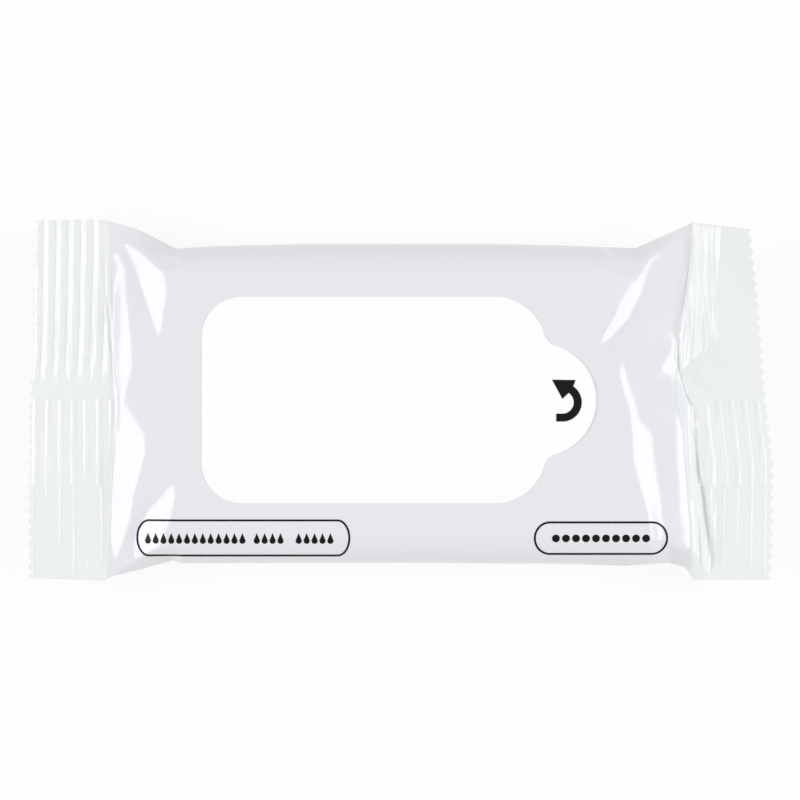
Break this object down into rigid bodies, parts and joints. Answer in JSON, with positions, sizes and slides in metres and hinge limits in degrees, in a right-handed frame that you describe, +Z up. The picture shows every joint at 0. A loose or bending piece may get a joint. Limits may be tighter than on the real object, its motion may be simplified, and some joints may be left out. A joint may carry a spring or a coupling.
{
  "type": "wet wipes pack",
  "caption": "Flat pillow pack of folded wet wipes: a white film flow wrap with crimped, pinked end seals, a fin seam on its back and a stuck-on reseal label with a finger tab.",
  "frame": {"origin": "middle of the footprint, on the plane that the back of the pack lies on", "axes": "+X along the pack towards the label's finger tab, +Y across it towards the side that the fin seam is folded away from, +Z up out of the top panel"},
  "size_m": [0.14, 0.0676, 0.0141],
  "materials": {
    "film": "pale grey white glossy film",
    "label": "white satin label film",
    "print": "black printing ink"
  },
  "bodies": {
    "root": {"sealed_pack": "film", "reseal_label": "label"}
  },
  "joints": []
}
